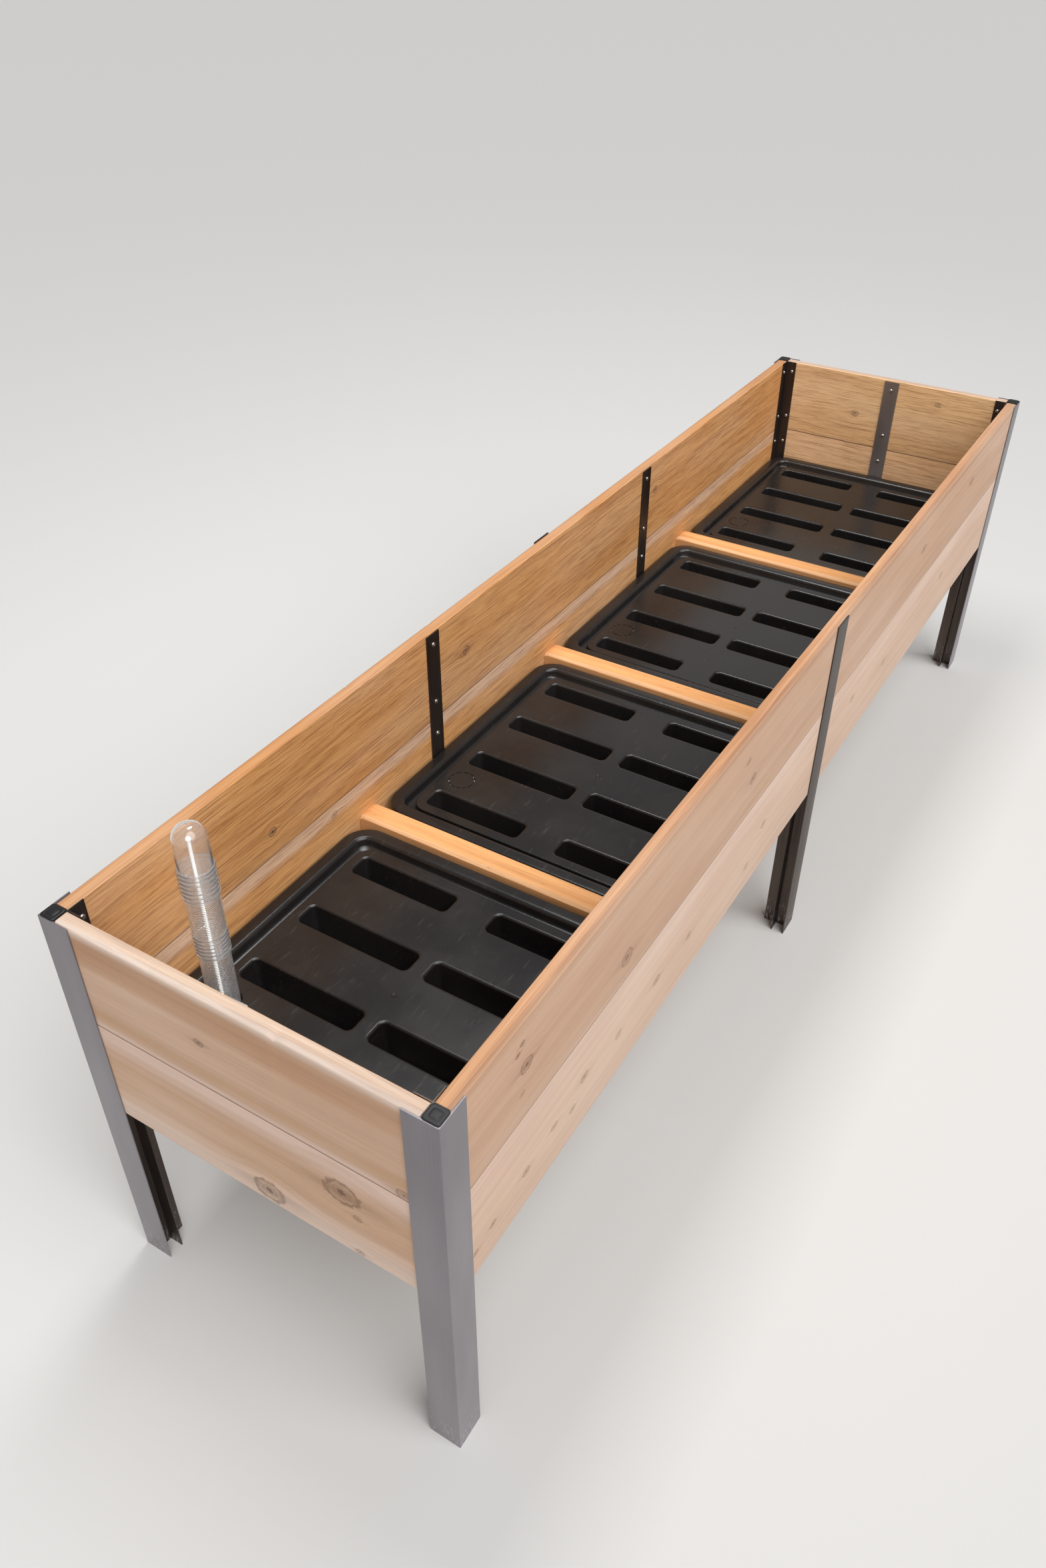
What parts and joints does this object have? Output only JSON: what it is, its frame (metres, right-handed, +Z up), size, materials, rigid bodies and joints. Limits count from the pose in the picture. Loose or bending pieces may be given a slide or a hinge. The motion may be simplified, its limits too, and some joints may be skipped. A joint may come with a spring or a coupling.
{
  "type": "raised planter",
  "caption": "Long raised planter: a cedar board box on metal legs, with lift-out self-watering inserts between cross joists and a clear fill tube with a water level rod.",
  "frame": {"origin": "on the ground under the middle of the box", "axes": "+X along the length, +Y across the width, +Z up"},
  "size_m": [2.438, 0.607, 0.8],
  "materials": {
    "cedar_board": "unfinished planed cedar, pale with darker bands and a few knots",
    "cedar_joist": "unfinished cedar, warm orange",
    "leg_aluminium": "brushed extruded aluminium",
    "strap_steel": "brushed flat strap with bright screw heads",
    "cap_plastic": "matte black",
    "insert_plastic": "satin black moulded plastic",
    "clear_plastic": "clear and glossy",
    "rod_plastic": "smooth white"
  },
  "bodies": {
    "planter_frame": {"front_lower_board": "cedar_board", "front_upper_board": "cedar_board", "back_lower_board": "cedar_board", "back_upper_board": "cedar_board", "left_lower_board": "cedar_board", "left_upper_board": "cedar_board", "right_lower_board": "cedar_board", "right_upper_board": "cedar_board", "corner_leg_front_left": "leg_aluminium", "leg_cap_front_left": "cap_plastic", "corner_leg_front_right": "leg_aluminium", "leg_cap_front_right": "cap_plastic", "corner_leg_back_right": "leg_aluminium", "leg_cap_back_right": "cap_plastic", "corner_leg_back_left": "leg_aluminium", "leg_cap_back_left": "cap_plastic", "middle_leg_front": "leg_aluminium", "middle_leg_back": "leg_aluminium", "wall_strap_front_left": "strap_steel", "wall_strap_front_right": "strap_steel", "wall_strap_back_left": "strap_steel", "wall_strap_back_right": "strap_steel", "end_strap_left": "strap_steel", "end_strap_right": "strap_steel", "support_rail_front": "leg_aluminium", "support_rail_back": "leg_aluminium", "cross_joist_1": "cedar_joist", "cross_joist_2": "cedar_joist", "cross_joist_3": "cedar_joist", "floor_slat_1": "cedar_joist", "floor_slat_2": "cedar_joist", "floor_slat_3": "cedar_joist", "floor_slat_4": "cedar_joist", "floor_slat_5": "cedar_joist", "floor_slat_6": "cedar_joist", "floor_slat_7": "cedar_joist", "floor_slat_8": "cedar_joist"},
    "insert_1": {"reservoir_pan_1": "insert_plastic", "wicking_deck_1": "insert_plastic"},
    "insert_2": {"reservoir_pan_2": "insert_plastic", "wicking_deck_2": "insert_plastic"},
    "insert_3": {"reservoir_pan_3": "insert_plastic", "wicking_deck_3": "insert_plastic"},
    "insert_4": {"reservoir_pan_4": "insert_plastic", "wicking_deck_4": "insert_plastic"},
    "fill_tube": {"fill_tube_lower": "clear_plastic", "fill_tube_upper": "clear_plastic"},
    "tube_cap": {"fill_tube_cap": "clear_plastic"},
    "level_rod": {"level_rod": "rod_plastic"}
  },
  "joints": [
    {"name": "insert_1_lift", "type": "slide", "parent": "planter_frame", "child": "insert_1", "axis": [0, 0, 1], "range_m": [0, 0.35]},
    {"name": "insert_2_lift", "type": "slide", "parent": "planter_frame", "child": "insert_2", "axis": [0, 0, 1], "range_m": [0, 0.35]},
    {"name": "insert_3_lift", "type": "slide", "parent": "planter_frame", "child": "insert_3", "axis": [0, 0, 1], "range_m": [0, 0.35]},
    {"name": "insert_4_lift", "type": "slide", "parent": "planter_frame", "child": "insert_4", "axis": [0, 0, 1], "range_m": [0, 0.35]},
    {"name": "fill_tube_lift", "type": "slide", "parent": "insert_1", "child": "fill_tube", "axis": [0, 0, 1], "range_m": [0, 0.12]},
    {"name": "tube_cap_lift", "type": "slide", "parent": "fill_tube", "child": "tube_cap", "axis": [0, 0, 1], "range_m": [0, 0.07]},
    {"name": "level_rod_rise", "type": "slide", "parent": "fill_tube", "child": "level_rod", "axis": [0, 0, 1], "range_m": [0, 0.018]}
  ]
}
